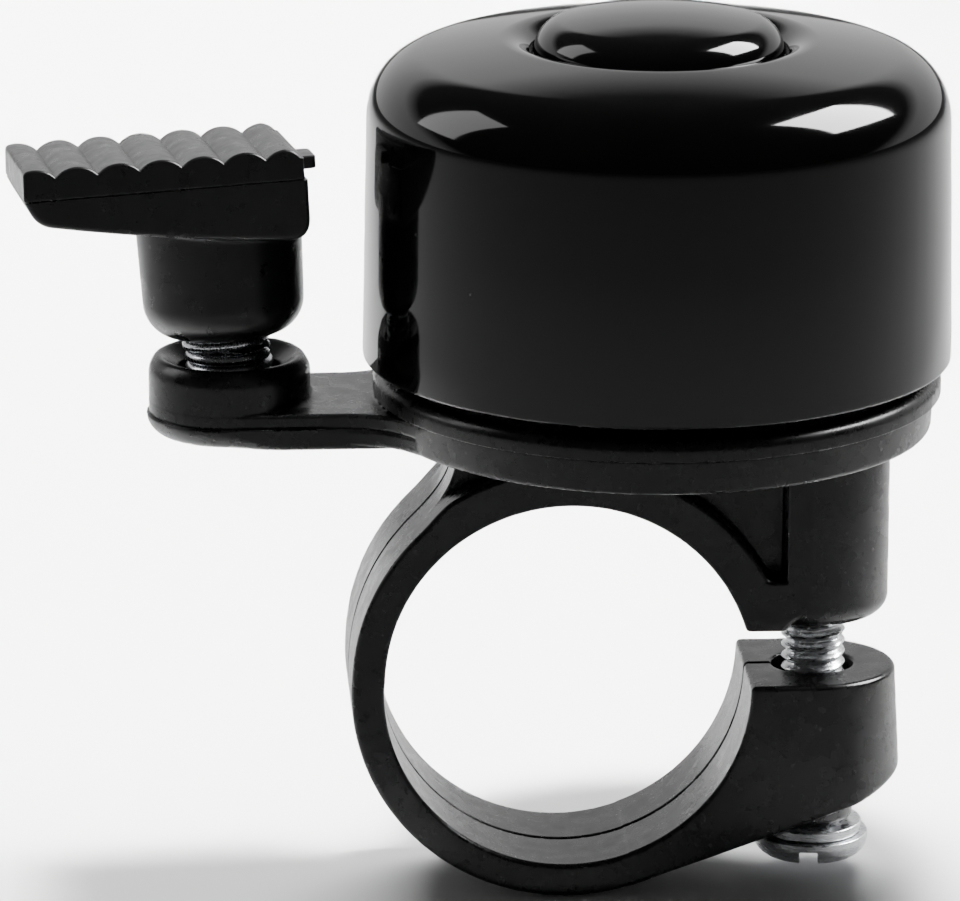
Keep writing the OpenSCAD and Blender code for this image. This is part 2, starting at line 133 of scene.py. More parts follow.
def carve(name, f, gx, gy, gz, place=None):
    """Mesh of f = 0 with one vertex for each grid cell the surface crosses, moved onto the surface."""
    v = f(gx[:, None, None], gy[None, :, None], gz[None, None, :]).astype(np.float32)
    inside = v < 0
    count = np.zeros([n - 1 for n in v.shape], np.int8)
    for i in (0, 1):
        for j in (0, 1):
            for k in (0, 1):
                count += inside[i:v.shape[0] - 1 + i, j:v.shape[1] - 1 + j, k:v.shape[2] - 1 + k]
    cells = np.argwhere((count > 0) & (count < 8))
    number = np.full(count.shape, -1, np.int32)
    number[tuple(cells.T)] = np.arange(len(cells))
    axes = (gx, gy, gz)
    total = np.zeros((len(cells), 3))
    hits = np.zeros(len(cells))
    for axis in range(3):
        others = [a for a in range(3) if a != axis]
        for s in (0, 1):
            for t in (0, 1):
                low = cells.copy()
                low[:, others[0]] += s
                low[:, others[1]] += t
                high = low.copy()
                high[:, axis] += 1
                a, b = v[tuple(low.T)], v[tuple(high.T)]
                cross = (a < 0) != (b < 0)
                share = np.where(cross, a / np.where(a == b, 1, a - b), 0)
                p = np.stack([axes[m][low[:, m]] for m in range(3)], 1)
                p[:, axis] += share * (axes[axis][high[:, axis]] - axes[axis][low[:, axis]])
                total += p * cross[:, None]
                hits += cross
    p = total / hits[:, None]
    home = np.stack([(axes[m][cells[:, m]] + axes[m][cells[:, m] + 1]) / 2 for m in range(3)], 1)
    reach = np.stack([(axes[m][cells[:, m] + 1] - axes[m][cells[:, m]]) for m in range(3)], 1) * 0.6
    for _ in range(3):
        g = gradient(f, p)
        d = f(p[:, 0], p[:, 1], p[:, 2])
        p = p - g * (d / np.maximum((g * g).sum(1), 0.05))[:, None]
        p = np.clip(p, home - reach, home + reach)
    faces = []
    for axis in range(3):
        b, c = (axis + 1) % 3, (axis + 2) % 3
        shift = [slice(None)] * 3
        shift[axis] = slice(1, None)
        base = [slice(None)] * 3
        base[axis] = slice(None, -1)
        lo_in, hi_in = inside[tuple(base)], inside[tuple(shift)]
        for flip, mask in ((False, lo_in & ~hi_in), (True, ~lo_in & hi_in)):
            e = np.argwhere(mask)
            ok = (e[:, b] > 0) & (e[:, c] > 0) & (e[:, b] < v.shape[b] - 1) & (e[:, c] < v.shape[c] - 1)
            e = e[ok]
            quad = []
            for db, dc in ((1, 1), (0, 1), (0, 0), (1, 0)):
                q = e.copy()
                q[:, b] -= db
                q[:, c] -= dc
                quad.append(number[tuple(q.T)])
            quad = np.stack(quad, 1)
            faces.append(quad[:, ::-1] if flip else quad)
    faces = np.concatenate(faces)
    normals = gradient(f, p)
    normals /= np.maximum(np.linalg.norm(normals, axis=1), 1e-9)[:, None]
    if place is not None:
        p = p @ place[0].T + place[1]
        normals = normals @ place[0].T
    return build(name, p, faces, normals)


def build(name, points, faces, normals=None):
    """Mesh object from points in mm and quads or triangles."""
    me = bpy.data.meshes.new(name)
    faces = np.asarray(faces)
    me.vertices.add(len(points))
    me.vertices.foreach_set("co", (np.asarray(points, np.float64) * MM).astype(np.float32).ravel())
    me.loops.add(faces.size)
    me.loops.foreach_set("vertex_index", faces.astype(np.int32).ravel())
    me.polygons.add(len(faces))
    me.polygons.foreach_set("loop_start", np.arange(0, faces.size, faces.shape[1], dtype=np.int32))
    me.update(calc_edges=True)
    me.validate()
    me.polygons.foreach_set("use_smooth", np.ones(len(me.polygons), bool))
    if normals is not None and len(me.vertices) == len(normals):
        me.normals_split_custom_set_from_vertices(normals.tolist())
    o = bpy.data.objects.new(name, me)
    bpy.context.scene.collection.objects.link(o)
    return o


def turn(name, profile, centre, segments):
    """Solid of revolution round a vertical axis from a closed profile of (r, z), mm."""
    prof = np.array(profile, float)
    a = np.arange(segments) * 2 * math.pi / segments
    n = len(prof)
    p = np.zeros((segments, n, 3))
    p[:, :, 0] = centre[0] + prof[:, 0] * np.cos(a)[:, None]
    p[:, :, 1] = centre[1] + prof[:, 0] * np.sin(a)[:, None]
    p[:, :, 2] = centre[2] + prof[:, 1]
    i, j = np.meshgrid(np.arange(segments), np.arange(n), indexing="ij")
    i2, j2 = (i + 1) % segments, (j + 1) % n
    quads = np.stack([i * n + j, i2 * n + j, i2 * n + j2, i * n + j2], -1).reshape(-1, 4)
    return build(name, p.reshape(-1, 3), quads)


def arc(cx, cz, r, a0, a1, n):
    t = np.radians(np.linspace(a0, a1, n))
    return [(cx + r * math.cos(u), cz + r * math.sin(u)) for u in t]


def crease(o, degrees=32):
    """Keeps sharp turns of a mesh sharp."""
    o.data.set_sharp_from_angle(angle=math.radians(degrees))


# ---------------------------------------------------------------- base moulding
FOOT = math.radians(20.2)
FOOT_P = (BAND_R * math.sin(FOOT), -BAND_R * math.cos(FOOT))
UNDER = ((12.38, -9.4), (20.55, -5.9))


def bent(x, z):
    """Coordinates in which the hanging lower half of the band is a closed circle."""
    a = OPEN * smooth_step((UPPER_LUG - z) / (UPPER_LUG + 0.5))
    dx, dz = x - HINGE[0], z - HINGE[1]
    c, s = np.cos(a), np.sin(a)
    return HINGE[0] + c * dx - s * dz, HINGE[1] + s * dx + c * dz


def upper_half(x, y, z):
    """Block and screw column over the bore."""
    r = np.hypot(x, z)
    # the block's foot blends into the band
    block = np.maximum(np.maximum(-6.7 - x, x - LUG_X), np.maximum(z - DISC_Z - 0.1, 4.0 - z))
    upper = smin(r - BAND_R, block, 2.6)
    upper = smax(upper, BORE_R - r, 0.12)
    gap_top = np.where(x > 0, UPPER_LUG - z, -9.0 + 0 * z)
    upper = both(upper, np.abs(y) - HALF_W, 0.28)
    upper = both(upper, gap_top, 0.18)
    upper = np.maximum(upper, UPPER_LUG - 3.05 - z)
    column = both(np.hypot(x - LUG_X, y) - LUG_R, np.maximum(UPPER_LUG - z, z - DISC_Z - 0.2), 1.15)
    upper = smin(upper, smax(column, BORE_R + 0.02 - r, 0.12), 0.12)
    # corner cored out beside the screw column
    core = smax(smax(x - 13.05, BAND_R + 0.4 - r, 0.7), smax(z - DISC_Z + 0.02, 6.2 - z, 0.4), 0.3)
    core = smax(core, 3.0 - np.abs(y), 0.25)
    return smax(upper, -core, 0.3)


def lower_half(x, y, z):
    """Band and lower lug, worked out in the closed shape."""
    qx, qz = bent(x, z)
    qr = np.hypot(qx, qz)
    ring = smax(qr - BAND_R + 0.006, BORE_R - qr, 0.1)
    top = (qz - LOWER_LUG) * math.cos(OPEN) - (qx - BORE_R) * math.sin(OPEN)
    under = smax(edge_of(qx, qz, FOOT_P, UNDER[0]), edge_of(qx, qz, UNDER[0], UNDER[1]), 0.6)
    wedge = smax(under, FOOT_P[0] - 0.4 - qx, 0.1)
    jaw = smin(ring, smax(wedge, BORE_R - qr, 0.1), 0.15)
    jaw = np.where(x > 0, jaw, np.maximum(ring, qz - 3.2))
    swell = LUG_R - 0.09 * qz
    end = np.where(qx > JAW_LUG_X, np.hypot(qx - JAW_LUG_X, y) - swell, -4.0 + 0 * qz)
    jaw = both(jaw, np.abs(y) - HALF_W, 0.28)
    jaw = smax(jaw, end, 0.35)
    jaw = np.where(x > 0, both(jaw, top, 0.3), jaw)
    # boss and spot face under the screw's head, and its slotted hole
    off_screw = np.hypot(qx - SCREW_X, y)
    seat = both(off_screw - SEAT_R, np.maximum(SEAT_Z - qz, qz + 6.0), 0.2)
    jaw = np.minimum(jaw, seat)
    spot = np.maximum(off_screw - SPOT_R, np.maximum(qz - SEAT_Z, SEAT_Z - 2.0 - qz))
    jaw = smax(jaw, -spot, 0.1)
    hole = np.hypot(np.maximum(np.abs(qx - SCREW_X) - SLOT_RUN, 0), y) - SCREW_HOLE_R
    mouth = np.maximum(0.0, 0.08 - np.abs(top)) * 0.8
    return smax(jaw, -(hole - mouth), 0.1)


def disc(x, y, z):
    """The disc's tapered lower part and the lip above it."""
    rho = np.hypot(x - BELL_X, y)
    low = both(rho - DISC_LOW_R - 0.05 * (z - 17.2), np.maximum(DISC_Z - z, z - 17.3), 0.3)
    lip = both(rho - DISC_LIP_R, np.maximum(17.2 - z, z - DISC_TOP), 0.1)
    return low, np.maximum(lip, both(rho - DISC_LIP_R, z - DISC_TOP, 0.8))


def arm_plan(x, y):
    """Distance outside the arm's outline, seen from above."""
    return np.where(x < CUP_X, np.hypot(x - CUP_X, y), np.maximum(np.abs(y), x - BELL_X + 5)) - HALF_W


def arm(x, y, z):
    """Two mould halves, the lower one proud, and the spring's cup on them."""
    plan = arm_plan(x, y)
    roll = 0.35 + 0.95 * smooth_step((-17.0 - x) / 4.0)
    low = both(both(plan, ARM_Z - z, roll), z - ARM_PART_Z, 0.08)
    high = both(plan + 0.15, np.maximum(z - ARM_TOP, 15.5 - z), 0.22)
    cup = both(np.hypot(x - CUP_X, y) - CUP_R, z - CUP_TOP, CUP_ROUND)
    cup = np.maximum(cup, 16.0 - z)
    high = smin(high, cup, 0.04 + 0.6 * smooth_step((x - CUP_X - 1.5) / 2.0))
    return np.minimum(low, high) + 0.07 * np.maximum(0.0, 1 - np.abs(z - ARM_PART_Z) / 0.09)


def web(x, y, z):
    """The arm's flare where it runs into the disc."""
    rho, plan = np.hypot(x - BELL_X, y), arm_plan(x, y)
    low = both(smin(rho - 16.45, plan, 3.4), np.maximum(DISC_Z - z, z - ARM_PART_Z), 0.25)
    high = both(smin(rho - 16.5, plan + 0.15, 3.4), np.maximum(16.1 - z, z - ARM_TOP), 0.2)
    return np.maximum(np.minimum(low, high), -14.5 - x)


def spring_seat(x, y, z):
    """Dish in the cup's top, and the socket in it with the stud that the spring sits on."""
    rc = np.hypot(x - CUP_X, y)
    fall, slant = 0.6875, 1.2135
    dish = ((rc - 4.62) * fall + CUP_TOP - z) / slant
    socket = np.maximum(rc - SOCKET_R, 17.9 - z)
    socket = np.minimum(socket, np.maximum(rc - SNUG_R, 15.9 - z))
    socket = np.maximum(socket, -np.maximum(rc - STUD_R, z - 17.9))
    return np.maximum(dish, rc - 5.4), socket


def screw_way(x, y, z):
    """Screw hole and hexagonal nut pocket."""
    ax, ay = np.abs(x - SCREW_X), np.abs(y)
    pin = np.maximum(np.hypot(x - SCREW_X, y) - SCREW_HOLE_R, 2.0 - z)
    nut = np.maximum(np.maximum(ay, ax * math.cos(math.radians(30)) + ay * 0.5) - 3.56, 15.0 - z)
    return np.minimum(np.where(z > 1.5, pin, 9.0), nut)


def moulding(x, y, z):
    body = smin(upper_half(x, y, z), lower_half(x, y, z), 0.02)
    # parting line of the mould along the middle of the band
    groove = np.maximum(0.0, 1 - np.abs(y) / 0.19) * 0.2
    body = body + groove * (z < 14.5) * (1 - smooth_step((x - 13.4) / 1.6))
    low, lip = disc(x, y, z)
    body = np.minimum(smin(body, low, 0.35), lip)
    body = smin(body, arm(x, y, z), 0.3)
    body = np.minimum(body, web(x, y, z))
    dish, socket = spring_seat(x, y, z)
    body = smax(smax(body, -dish, 0.35), -socket, 0.12)
    return np.maximum(body, -screw_way(x, y, z))


gx = spaced((-25.4, -14.9, 0.19), (-14.9, 21.2, 0.2), (21.2, 23.0, 0.2))
gy_half = spaced((0.04, 0.2, 0.08), (0.2, 0.44, 0.12), (0.44, 4.4, 0.24), (4.4, 5.08, 0.09),
                 (5.08, 17.35, 0.24))
gy = np.concatenate([-gy_half[::-1], gy_half])
gz = spaced((-13.7, -0.9, 0.2), (-0.9, -0.3, 0.1), (-0.3, 2.9, 0.2), (2.9, 3.5, 0.1), (3.5, 14.7, 0.21),
            (14.7, 15.3, 0.1), (15.3, 16.1, 0.16), (16.1, 16.3, 0.05), (16.3, 17.0, 0.14), (17.0, 17.4, 0.06),
            (17.4, 20.1, 0.13), (20.1, 20.4, 0.15))
base = carve("base_moulding", moulding, gx, gy, gz)

post = turn("dome_post", [(1.5, 18.55), (5.0, 18.55), (4.0, 35.3), (1.5, 35.3)], (BELL_X, 0, 0), 64)
crease(post)


# ---------------------------------------------------------------- dome and cap
def crowned(r_edge, z_edge, edge, crown, centre_z, to_r, n=26):
    """Points from the side's top, over the edge arc and along the crown to radius to_r."""
    tilt = math.degrees(math.atan2(r_edge, z_edge - centre_z))
    pts = arc(r_edge, z_edge, edge, 0, 90 - tilt, n)
    end = math.degrees(math.acos(to_r / crown))
    return pts + arc(0, centre_z, crown, 90 - tilt, end, n)[1:]


BELL_R, DRAFT, SHOULDER, CROWN = 17.7, 0.3, 3.9, 70.0
RIM_Z, FLOOR_Z, WALL = 19.35, 37.3, 1.2
crown_z = RIM_Z + 19.9 - CROWN
sx = BELL_R - DRAFT - SHOULDER
sz = crown_z + math.sqrt((CROWN - SHOULDER) ** 2 - sx ** 2)
LIP_X, LIP_R, RECESS_R = 9.25, 2.0, 7.75
lip_z = crown_z + math.sqrt((CROWN - LIP_R) ** 2 - LIP_X ** 2)
lip_tilt = math.degrees(math.atan2(LIP_X, lip_z - crown_z))
lip_end = math.degrees(math.acos((RECESS_R - LIP_X) / LIP_R))
outer = arc(BELL_R - 0.22, RIM_Z + 0.22, 0.22, -90, 0, 6) + [(BELL_R - 0.18, RIM_Z + 9)]
crown_end = LIP_X * CROWN / (CROWN - LIP_R)
outer += crowned(sx, sz, SHOULDER, CROWN, crown_z, crown_end)
outer += arc(LIP_X, lip_z, LIP_R, 90 - lip_tilt, lip_end, 20)[1:]
outer += [(RECESS_R, FLOOR_Z + 0.3), (RECESS_R - 0.1, FLOOR_Z), (2.4, FLOOR_Z)]
inner = [(2.4, FLOOR_Z - WALL), (8.6, FLOOR_Z - WALL), (8.95, FLOOR_Z - WALL + 0.35), (8.95, FLOOR_Z - 0.2)]
roof = crowned(sx, sz, SHOULDER - WALL, CROWN - WALL, crown_z, 9.15)
inner += roof[::-1] + [(BELL_R - WALL, RIM_Z + 0.2), (BELL_R - WALL + 0.2, RIM_Z)]
dome = turn("gong", outer + inner, (BELL_X, 0, 0), 384)
crease(dome, 40)

CAP_R, CAP_RIM, CAP_CROWN, CAP_H = 7.45, 1.9, 28.0, 3.05
cap_cz = FLOOR_Z + CAP_H - CAP_CROWN
cap_ez = cap_cz + math.sqrt((CAP_CROWN - CAP_RIM) ** 2 - (CAP_R - CAP_RIM) ** 2)
cap_prof = arc(CAP_R - 0.15, FLOOR_Z + 0.17, 0.15, -90, 0, 5)
cap_prof += crowned(CAP_R - CAP_RIM, cap_ez, CAP_RIM, CAP_CROWN, cap_cz, 0.02, 30)
cap_prof += [(0.02, FLOOR_Z + 2.0), (3.6, FLOOR_Z + 2.0), (3.6, FLOOR_Z + 0.95),
             (6.05, FLOOR_Z + 0.95), (6.05, FLOOR_Z + 0.02)]
cap = turn("cap", cap_prof, (BELL_X, 0, 0), 256)
crease(cap, 40)

# ---------------------------------------------------------------- striker
# its own frame: leaning back and out, and swung round the spring
LEAN_Z = 17.0
back, out, yaw = (math.radians(v) for v in (-4.1, -3.0, 6.6))
rx = np.array([[1, 0, 0], [0, math.cos(back), -math.sin(back)], [0, math.sin(back), math.cos(back)]])
ry = np.array([[math.cos(out), 0, math.sin(out)], [0, 1, 0], [-math.sin(out), 0, math.cos(out)]])
rz = np.array([[math.cos(yaw), -math.sin(yaw), 0], [math.sin(yaw), math.cos(yaw), 0], [0, 0, 1]])
STRIKER = (ry @ rx @ rz, np.array([CUP_X, 0, LEAN_Z]))
SEAM, VALLEY, PEAK = 13.57, 14.96, 0.52
PITCH, FIRST, SCALLOPS = 2.49, -10.03, 7
BUMP = ((PITCH / 2) ** 2 + PEAK ** 2) / (2 * PEAK)
LEVER_HALF = 5.4


def peg_distance(x, y):
    return np.minimum(np.hypot(x - PEG_X[0], y), np.hypot(x - PEG_X[1], y))


def striker_low(x, y, z):
    rho = np.hypot(x, y)
    wall = rho - 4.83 - 0.03 * (z - 6.0)
    skirt = both(wall, 3.8 - z, 2.1)
    skirt = smax(skirt, z - 11.5, 0.1)
    a = edge_of(x, z, (4.85, 9.85), (4.85, 14.0))
    b = edge_of(x, z, (-5.2, 10.9), (4.85, 9.85))
    c = edge_of(x, z, (-11.25, 12.1), (-5.2, 10.9))
    d = edge_of(x, z, (-11.97, 13.57), (-11.3, 12.15))
    under = smax(smax(b, c, 0.5), d, 0.7)
    outline = smax(under, a, 1.5)
    lever = both(outline, np.abs(y) - LEVER_HALF - 0.02 * (z - SEAM), 0.3)
    lever = both(lever, z - SEAM, 0.035)
    body = smin(skirt, lever, 0.35)
    bore = np.minimum(np.maximum(rho - 3.02, z - 6.4), np.maximum(rho - SNUG_R, z - 8.6))
    bore = np.maximum(bore, -np.maximum(rho - STUD_R, 6.4 - z))
    body = smax(body, -bore, 0.15)
    pegs = peg_distance(x, y) - PEG_HOLE_R
    return np.maximum(body, -np.maximum(pegs, SEAM - 1.6 - z))


def pad(x, y, z):
    peak_z = VALLEY + PEAK
    ribs = np.full(np.broadcast(x, z).shape, 9.0)
    last = FIRST + (SCALLOPS - 1.5) * PITCH
    for i in range(SCALLOPS):
        bump = np.hypot(x - FIRST - (i - 0.5) * PITCH, z - peak_z + BUMP) - BUMP
        ribs = np.minimum(ribs, np.maximum(bump, x - last))
    nose = both(x - 4.7, z - peak_z, 1.25)
    flat = both(x - 4.7, z - VALLEY, 0.05)
    ribs = np.minimum(ribs, np.maximum(nose, last - x - 0.1))
    ribs = np.minimum(ribs, np.maximum(flat, z - VALLEY))
    ribs = np.maximum(ribs, z - peak_z)
    outline = np.maximum(ribs, SEAM - z)
    outline = smax(outline, -12.0 - x + 0.04 * (z - SEAM), 0.25)
    outline = smax(outline, x - 4.7, 0.2)
    outline = np.maximum(outline, both(SEAM - z, x - 4.7, 0.035))
    body = both(outline, np.abs(y) - LEVER_HALF, 0.16)
    slot = np.maximum(np.maximum(-4.03 - x, np.abs(y) - 1.53), z - SEAM - 0.81)
    body = np.maximum(body, -slot)
    pegs = peg_distance(x, y) - PEG_R
    return np.minimum(body, np.maximum(pegs, np.maximum(SEAM - 1.5 - z, z - SEAM - 0.7)))


sx_grid = spaced((-12.3, 6.4, 0.12))
body_gy = spaced((-5.7, -4.9, 0.08), (-4.9, 4.9, 0.2), (4.9, 5.7, 0.08))
striker = carve("striker_lever", striker_low, sx_grid, body_gy,
                spaced((3.6, 9.4, 0.15), (9.4, 13.3, 0.13), (13.3, 13.7, 0.05)), STRIKER)
thumb = carve("thumb_ribs", pad, sx_grid, body_gy,
              spaced((11.9, 13.4, 0.2), (13.4, 13.8, 0.05), (13.8, 14.8, 0.12), (14.8, 15.7, 0.06)), STRIKER)


def plate(x, y, z):
    d = both(both(np.abs(x - 0.96) - 4.96, np.abs(y) - 1.5, 0.35), np.abs(z - SEAM - 0.39) - 0.39, 0.1)
    return np.maximum(d, PEG_HOLE_R - peg_distance(x, y))


hammer = carve("hammer", plate, spaced((-4.3, 6.3, 0.1)), spaced((-1.7, 1.7, 0.1)),
               spaced((13.4, 14.5, 0.06)), STRIKER)


# ---------------------------------------------------------------- spring
COIL_R, WIRE_R = 2.3, 0.35


def coil(name, z0, z1, turns, start, place=None, sides=14):
    """Close-wound helix of round wire."""
    n = int(turns * 56)
    t = np.linspace(0, 1, n + 1)
    a = start + t * turns * 2 * math.pi
    centre = np.stack([COIL_R * np.cos(a), COIL_R * np.sin(a), z0 + t * (z1 - z0)], 1)
    radial = np.stack([np.cos(a), np.sin(a), 0 * a], 1)
    u = np.linspace(0, 2 * math.pi, sides, endpoint=False)
    wire = np.full(n + 1, WIRE_R)
    wire[[0, -1]] = 0.02
    wire[[1, -2]] = 0.3
    ring = np.cos(u)[None, :, None] * radial[:, None, :] + np.sin(u)[None, :, None] * np.array([0, 0, 1.0])
    p = centre[:, None, :] + wire[:, None, None] * ring
    if place is None:
        p = p + np.array([CUP_X, 0, 0])
    else:
        p = p @ place[0].T + place[1]
    i, j = np.meshgrid(np.arange(n), np.arange(sides), indexing="ij")
    j2 = (j + 1) % sides
    quads = np.stack([i * sides + j, i * sides + j2, (i + 1) * sides + j2, (i + 1) * sides + j], -1)
    return build(name, p.reshape(-1, 3), quads.reshape(-1, 4))


PIVOT_Z = 19.9
LOW_TURNS, HIGH_TURNS, FIRST_TURN = 4.9, 7.4, 0.4
spring_low = coil("spring_lower", 16.4, PIVOT_Z, LOW_TURNS, FIRST_TURN)
spring_high = coil("spring_upper", PIVOT_Z - LEAN_Z, 8.2, HIGH_TURNS,
                   FIRST_TURN + LOW_TURNS * 2 * math.pi, STRIKER)

# ---------------------------------------------------------------- clamp screw and washer
HEAD_Z, HEAD_R, HEAD_H = -11.2, 3.5, 1.45


def head(x, y, z):
    x = x - SCREW_X
    rho = np.hypot(x, y)
    d = both(rho - HEAD_R, HEAD_Z - HEAD_H - z, 1.1)
    d = both(d, z - HEAD_Z, 0.08)
    a = math.radians(82)
    across = np.abs(-x * math.sin(a) + y * math.cos(a))
    return smax(d, -np.maximum(across - 0.55, z - HEAD_Z + HEAD_H - 1.0), 0.08)


screw_head = carve("clamp_screw_head", head, spaced((SCREW_X - 3.7, SCREW_X + 3.7, 0.07)),
                   spaced((-3.7, 3.7, 0.07)), spaced((-12.85, -11.1, 0.06)))


def thread(name, r, depth, lead, z0, z1, centre, around=72, rows=9):
    """Shank with a V thread: rows across each turn, rising with the angle."""
    n = int((z1 - z0) / lead * rows)
    z = np.linspace(z0, z1, n + 1)
    a = np.arange(around) * 2 * math.pi / around
    phase = (z[None, :] / lead - a[:, None] / (2 * math.pi)) % 1.0
    wave = np.clip(np.abs(phase - 0.5) * 2 * 1.25 - 0.1, 0, 1)
    fade = smooth_step((z - z0) / 0.6)[None, :] * np.ones_like(wave)
    rr = r - depth * wave * fade - 0.45 * smooth_step((z - z1 + 0.7) / 0.7)[None, :]
    p = np.stack([centre[0] + rr * np.cos(a)[:, None], centre[1] + rr * np.sin(a)[:, None],
                  np.broadcast_to(z, rr.shape)], -1)
    i, j = np.meshgrid(np.arange(around), np.arange(n), indexing="ij")
    i2 = (i + 1) % around
    m = n + 1
    quads = np.stack([i * m + j, i2 * m + j, i2 * m + j + 1, i * m + j + 1], -1).reshape(-1, 4)
    pts = p.reshape(-1, 3)
    tips = np.array([[centre[0], centre[1], z0], [centre[0], centre[1], z1]])
    k = len(pts)
    ring = np.arange(around)
    ring2 = (ring + 1) % around
    caps = np.concatenate([np.stack([ring2 * m, ring * m, np.full(around, k)], 1),
                           np.stack([ring * m + n, ring2 * m + n, np.full(around, k + 1)], 1)])
    me = bpy.data.meshes.new(name)
    me.from_pydata((np.concatenate([pts, tips]) * MM).tolist(), [], quads.tolist() + caps.tolist())
    me.polygons.foreach_set("use_smooth", np.ones(len(me.polygons), bool))
    o = bpy.data.objects.new(name, me)
    bpy.context.scene.collection.objects.link(o)
    crease(o, 50)
    return o


shank = thread("clamp_screw_thread", 1.95, 0.36, 0.7, HEAD_Z - 0.3, 18.8, (SCREW_X, 0))


def washer(x, y, z):
    x = x - SCREW_X
    a = np.arctan2(y, x)
    rho = np.hypot(x, y)
    lift = 0.03 * a / math.pi
    d = both(both(rho - 3.1, 2.03 - rho, 0.08), np.abs(z - HEAD_Z - 0.38 - lift) - 0.32, 0.1)
    c, s = math.cos(math.radians(140)), math.sin(math.radians(140))
    along, off = x * c + y * s, np.abs(-x * s + y * c - 0.25 * (z - HEAD_Z - 0.4))
    return smax(d, -np.maximum(off - 0.2, -along), 0.05)


ring = carve("spring_washer", washer, spaced((SCREW_X - 3.3, SCREW_X + 3.3, 0.07)),
             spaced((-3.3, 3.3, 0.07)), spaced((-11.3, -10.3, 0.06)))


# ---------------------------------------------------------------- materials
class Nodes:
    """Short hand for building a node tree."""

    def __init__(self, name):
        self.mat = bpy.data.materials.new(name)
        self.mat.use_nodes = True
        self.t = self.mat.node_tree
        self.bsdf = self.t.nodes["Principled BSDF"]
        self.geo = self.t.nodes.new("ShaderNodeTexCoord")

    def new(self, kind, **inputs):
        n = self.t.nodes.new(kind)
        for k, v in inputs.items():
            key = k.replace("_", " ")
            target = n.inputs[key] if key in n.inputs else None
            if target is None:
                setattr(n, k, v)
            elif isinstance(v, bpy.types.NodeSocket):
                self.t.links.new(v, target)
            else:
                target.default_value = v
        return n

    def noise(self, scale, detail=4.0, rough=0.6, stretch=None):
        src = self.geo.outputs["Object"]
        if stretch is not None:
            m = self.new("ShaderNodeMapping")
            m.inputs["Scale"].default_value = stretch
            self.t.links.new(src, m.inputs["Vector"])
            src = m.outputs["Vector"]
        n = self.new("ShaderNodeTexNoise", Scale=scale, Detail=detail, Roughness=rough)
        self.t.links.new(src, n.inputs["Vector"])
        return n.outputs["Fac"]

    def ramp(self, fac, stops):
        n = self.t.nodes.new("ShaderNodeValToRGB")
        while len(n.color_ramp.elements) < len(stops):
            n.color_ramp.elements.new(0.5)
        for e, (pos, col) in zip(n.color_ramp.elements, stops):
            e.position = pos
            c = col if isinstance(col, (tuple, list)) else (col, col, col)
            e.color = (*c, 1.0)
        self.t.links.new(fac, n.inputs["Fac"])
        return n.outputs["Color"]

    def specks(self, scale, size):
        """Sparse dust: small dots on a cell pattern, most cells empty."""
        n = self.t.nodes.new("ShaderNodeTexVoronoi")
        n.inputs["Scale"].default_value = scale
        self.t.links.new(self.geo.outputs["Object"], n.inputs["Vector"])
        dot = self.ramp(n.outputs["Distance"], [(size * 0.6, 1.0), (size, 0.0)])
        some = self.ramp(n.outputs["Color"], [(0.72, 0.0), (0.76, 1.0)])
        m = self.new("ShaderNodeMath", operation="MULTIPLY")
        self.t.links.new(dot, m.inputs[0])
        self.t.links.new(some, m.inputs[1])
        return m.outputs[0]

    def mix(self, fac, a, b):
        n = self.t.nodes.new("ShaderNodeMixRGB")
        for s, v in zip(("Fac", "Color1", "Color2"), (fac, a, b)):
            if isinstance(v, bpy.types.NodeSocket):
                self.t.links.new(v, n.inputs[s])
            else:
                n.inputs[s].default_value = v if s == "Fac" else (*v, 1.0)
        return n.outputs["Color"]

    def bump(self, height, strength, distance, under=None):
        n = self.new("ShaderNodeBump", Strength=strength, Distance=distance)
        self.t.links.new(height, n.inputs["Height"])
        if under is not None:
            self.t.links.new(under, n.inputs["Normal"])
        return n.outputs["Normal"]

    def set(self, **inputs):
        for k, v in inputs.items():
            s = self.bsdf.inputs[k.replace("_", " ")]
            if isinstance(v, bpy.types.NodeSocket):
                self.t.links.new(v, s)
            else:
                s.default_value = v
        return self.mat


DUST = 0.025


def black_plastic(name, dark, light, rough_low, rough_high, grain):
    m = Nodes(name)
    tone = m.ramp(m.noise(260, 6), [(0.35, (dark, dark, dark * 1.05)), (0.7, (light, light, light * 1.05))])
    spots = m.specks(620, 0.11)
    m.set(Base_Color=m.mix(spots, tone, (DUST,) * 3),
          Roughness=m.ramp(m.noise(900, 5), [(0.3, rough_low), (0.72, rough_high)]),
          Metallic=0.0, IOR=1.36)
    fine = m.bump(m.noise(9000, 3, 0.7), grain, 0.00002)
    soft = m.bump(m.noise(330, 2, 0.5), 0.12, 0.00005, fine)
    scratch = m.noise(420, 2, 0.5, (1.0, 14.0, 1.0))
    m.set(Normal=m.bump(m.ramp(scratch, [(0.49, 0.0), (0.5, 1.0), (0.51, 0.0)]), 0.03, 0.00001, soft))
    return m.mat


def gloss_black(name, tone, rough):
    m = Nodes(name)
    spots = m.specks(330, 0.06)
    base_tone = m.ramp(m.noise(120, 4), [(0.3, (tone * 0.8,) * 3), (0.75, (tone * 1.3,) * 3)])
    m.set(Base_Color=m.mix(spots, base_tone, (0.1, 0.1, 0.1)),
          Roughness=m.ramp(m.noise(260, 5), [(0.3, rough), (0.75, rough * 1.8)]),
          IOR=1.36)
    m.set(Normal=m.bump(m.noise(800, 2, 0.5), 0.025, 0.00002))
    return m.mat


def steel(name, low, high, rough, stretch):
    m = Nodes(name)
    tone = m.ramp(m.noise(500, 5), [(0.3, low), (0.7, high)])
    streak = m.noise(1500, 4, 0.6, stretch)
    m.set(Base_Color=tone, Metallic=1.0,
          Roughness=m.ramp(streak, [(0.3, rough * 0.7), (0.7, rough * 1.5)]))
    m.set(Normal=m.bump(streak, 0.12, 0.00003))
    return m.mat


